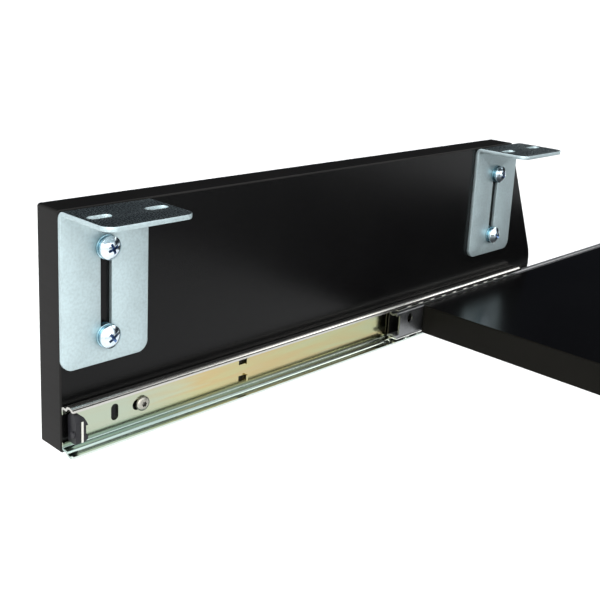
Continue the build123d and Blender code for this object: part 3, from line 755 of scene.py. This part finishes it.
def put_fasteners():
    """Screws, washers, balls and cages of both sides, at the places that the solids have."""
    places = {"Face": PLATE_FACE, "Rear": 0.1675, "Front": -0.1675, "Low": -0.066, "High": -0.0207}
    wood_shank = {"Shank Radius": 1.95, "Thread Pitch": 1.8, "Thread Depth": 0.5}
    row = {
        "In a Row": 10, "First Place": -0.0689, "Pitch": 0.0128, "Spread": 0.010,
        "Middle": SLIDE_MIDDLE, "Place Inward": 0.304,
    }
    pan, slide, tray, balls, seats = (
        pan_screw_tree(), slide_screw_tree(), tray_screw_tree(), ball_tree(), seat_tree(),
    )
    plain, split = washer_tree("plain_washers", flat_ring), washer_tree("split_washers", split_ring)
    for side, sign in SIDES.items():
        grown(side + "_pan_screws", pan, {
            **places, "Side": sign, "Seat": 0.0052, "Head Radius": 6.0, "Head Height": 3.7,
            "Shank Radius": 3.0, "Shank Length": 18.2, "Thread Pitch": 1.0, "Thread Depth": 0.5,
            "Cross Reach": 7.0, "Cross Width": 1.55, "Cross Depth": 2.3,
        }, finishes["zinc_fastener"], "frame", side + "_bracket_screws", 38.0,
            recess=recess_finish)
        grown(side + "_plain_washers", plain, {
            **places, "Side": sign, "Seat": 0.0025,
            "Outer Radius": 6.25, "Bore Radius": 3.3, "Thickness": 1.2, "Lift": 0.0,
        }, washer_finish, "frame", side + "_flat_washers")
        grown(side + "_split_washers", split, {
            **places, "Side": sign, "Seat": 0.0037,
            "Outer Radius": 5.4, "Bore Radius": 3.3, "Thickness": 1.5, "Lift": 0.18,
        }, washer_finish, "frame", side + "_spring_washers")
        grown(side + "_six_lobe_screws", slide, {
            **wood_shank, "Shank Length": 15.2, "Side": sign, "Height": SLIDE_MIDDLE, "Face": PLATE_FACE,
            "Button Radius": 4.0, "Button Height": 2.3, "Sunk Radius": 3.8, "Sunk Height": 2.05,
            "Drive Radius": 1.45, "Drive Depth": 1.2, "Sheet": 1.2,
            "Button Place": 0.1447, "First Sunk Place": -0.0793, "Second Sunk Place": -0.1753,
        }, finishes["wood_screw_steel"], "frame", side + "_slide_screws", 35.0,
            recess=drive_finish)
        grown(side + "_sunk_screws", tray, {
            **wood_shank, "Shank Length": 15.1, "Side": sign, "Height": SLIDE_MIDDLE, "Head Face": 0.3012,
            "Head Radius": 3.8, "Head Height": 2.05, "Cross Reach": 4.2, "Cross Width": 0.9,
            "Cross Depth": 1.2, "First Place": -0.1125, "Pitch": 0.14575, "Count": 3,
        }, finishes["wood_screw_steel"], "tray", side + "_tray_screws", 35.0,
            recess=drive_finish)
        grown(side + "_bearing_balls", balls, {
            **row, "Side": sign, "Ball Radius": 2.0,
        }, finishes["ball_steel"], side + "_cage", side + "_balls", 60.0)
        grown(side + "_seated_cage", seats, {
            **row, "Side": sign,
            "Collar Radius": 2.42, "Collar Wall": 0.45, "Collar Height": 0.75, "Collar Rise": 0.00062,
        }, finishes["cage_steel"], side + "_cage", side + "_ball_cage", 35.0,
            solid=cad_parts[side + "_ball_cage"].data.copy())


put_fasteners()


# Sheet and rubber parts with eased edges

# Distances in metres within which two points are one and a point lies on a cutting plane, and
# angles in degrees below which two faces are one flat face and above which their edge is eased
WELD = 0.000002
CUT = 0.000001
FLAT_ANGLE = 0.5
EDGE_ANGLE = 38.0


def pared(work, point, direction):
    """Solid without what lies beyond a plane through a point."""
    parts = work.verts[:] + work.edges[:] + work.faces[:]
    bmesh.ops.bisect_plane(work, geom=parts, dist=CUT, plane_co=point, plane_no=direction, clear_outer=True)
    bmesh.ops.holes_fill(work, edges=[edge for edge in work.edges if edge.is_boundary], sides=0)


def eased(source, width, steps, planes=()):
    """Copy of a node's solid with its flat faces whole again, its corners pared and its edges eased."""
    work = bmesh.new()
    work.from_mesh(source.data)
    bmesh.ops.remove_doubles(work, verts=work.verts, dist=WELD)
    for point, direction in planes:
        pared(work, point, direction)
    flat = math.radians(FLAT_ANGLE)
    bmesh.ops.dissolve_limit(work, angle_limit=flat, verts=work.verts, edges=work.edges)
    mesh = bpy.data.meshes.new(source.name + "_eased")
    work.to_mesh(mesh)
    work.free()
    for spare in [layer.name for layer in mesh.attributes if layer.name == "custom_normal"]:
        mesh.attributes.remove(mesh.attributes[spare])
    for material in source.data.materials:
        mesh.materials.append(material)
    holder = bpy.data.objects.new(mesh.name, mesh)
    bpy.context.scene.collection.objects.link(holder)
    easing = holder.modifiers.new("easing", "BEVEL")
    easing.width = width
    easing.segments = steps
    easing.limit_method = "ANGLE"
    easing.angle_limit = math.radians(EDGE_ANGLE)
    easing.use_clamp_overlap = True
    cornered = holder.modifiers.new("flats", "TRIANGULATE")
    cornered.min_vertices = 5
    result = bpy.data.meshes.new_from_object(holder.evaluated_get(bpy.context.evaluated_depsgraph_get()))
    holder.modifiers.clear()
    bpy.data.objects.remove(holder)
    return result


def put_brackets(side):
    """Brackets with the slight round that shearing and plating leave."""
    for bracket in ("rear_bracket", "front_bracket"):
        name = side + "_" + bracket
        plated = eased(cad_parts[name], 0.0003, 2)
        placed(name + "_plated", plated, "frame", name, 30.0)


def put_bumper(side):
    """Bumper with moulded edges, its brow and crown slanted back and the corner of its foot pared."""
    name = side + "_slide_bumper"
    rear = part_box(name)[0][1]
    planes = [
        ((0.0, rear + back, SLIDE_MIDDLE + up), direction)
        for back, up, direction in (
            (0.0, 0.0024, (0.0, -0.90, 0.436)),
            (0.0019, 0.0063, (0.0, -0.66, 0.751)),
            (0.0, -0.0050, (0.0, -0.707, -0.707)),
        )
    ]
    moulded = eased(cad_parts[name], 0.0004, 3, planes)
    placed(name + "_moulded", moulded, "frame", name, 50.0)


for side in SIDES:
    put_brackets(side)
    put_bumper(side)


# Studio


def dome():
    """World that is bright above and behind the tray on its left, and dark away from there."""
    world = bpy.data.worlds.new("studio")
    bpy.context.scene.world = world
    world.use_nodes = True
    tree = world.node_tree
    tree.nodes.clear()
    way = node(tree, "ShaderNodeTexCoord").outputs["Generated"]
    bright_side = tuple(Vector((-0.74, 0.48, 0.46)).normalized())
    values = {0: way, 1: bright_side}
    facing = node(tree, "ShaderNodeVectorMath", values, operation="DOT_PRODUCT").outputs["Value"]
    sky = ramp(tree, facing, [
        (0.0, (0.005, 0.0055, 0.007)),
        (0.22, (0.009, 0.010, 0.013)),
        (0.66, (0.95, 0.97, 1.0)),
        (1.0, (1.0, 1.0, 1.0)),
    ])
    light = node(tree, "ShaderNodeBackground", {"Color": sky, "Strength": 3.2})
    result = node(tree, "ShaderNodeOutputWorld")
    tree.links.new(light.outputs["Background"], result.inputs["Surface"])


def floor():
    """Pale floor as far below the desk as a real one, out to the horizon."""
    reach = 420.0
    level = -0.72
    corners = [(x * reach, y * reach, level) for x, y in ((-1, -1), (1, -1), (1, 1), (-1, 1))]
    mesh = bpy.data.meshes.new("floor")
    mesh.from_pydata(corners, [], [(0, 1, 2, 3)])
    ground = bpy.data.objects.new("floor", mesh)
    bpy.context.scene.collection.objects.link(ground)
    material, tree, shader, place = finish("pale_floor", 0.0, 0.9, 0.0)
    cloud = grain(tree, place, 2.0, 2.0, 0.5)
    lit_upper_bend = ramp(tree, cloud, [(0.3, (0.87, 0.87, 0.86)), (0.7, (0.89, 0.89, 0.885))])
    tree.links.new(lit_upper_bend, shader.inputs["Base Color"])
    mesh.materials.append(material)


def lamps():
    """Three soft lamps: one over the camera, a faint one behind on the right, one in front."""
    for name, place, aim, wide, high, opening, power in (
        ("lamp_over_camera", (-0.9, 1.5, 1.3), (0.15, 0.0, -0.05), 0.9, 0.9, 180.0, 26.0),
        ("lamp_rear_right", (1.3, 1.6, 0.5), (0.31, 0.1, -0.05), 0.8, 0.8, 180.0, 8.0),
        ("lamp_front", (-0.1, -2.0, 1.6), (0.3, -0.1, -0.1), 1.8, 1.2, 60.0, 3.0),
    ):
        lamp = bpy.data.lights.new(name, "AREA")
        lamp.shape = "RECTANGLE"
        lamp.size = wide
        lamp.size_y = high
        lamp.spread = math.radians(opening)
        lamp.energy = power
        stand = bpy.data.objects.new(name, lamp)
        stand.location = place
        towards = Vector(aim) - Vector(place)
        stand.rotation_euler = towards.to_track_quat("-Z", "Y").to_euler()
        bpy.context.scene.collection.objects.link(stand)


def camera():
    """Camera behind the tray, at the middle, looking at the right-hand plate from inside."""
    place = (-0.065677, 0.422467, 0.107194)
    right = Vector((-0.710217, -0.702238, 0.049528))
    ahead = Vector((0.671774, -0.697081, -0.250596))
    eye = bpy.data.cameras.new("camera")
    eye.sensor_width = 36.0
    eye.lens = 57.574
    eye.shift_y = -0.1172
    eye.clip_end = 1000.0
    stand = bpy.data.objects.new("camera", eye)
    turn = Matrix((right, right.cross(ahead), -ahead)).transposed().to_4x4()
    stand.matrix_world = Matrix.Translation(place) @ turn
    bpy.context.scene.collection.objects.link(stand)
    bpy.context.scene.camera = stand


bpy.context.scene.view_settings.view_transform = "Standard"
dome()
floor()
lamps()
camera()
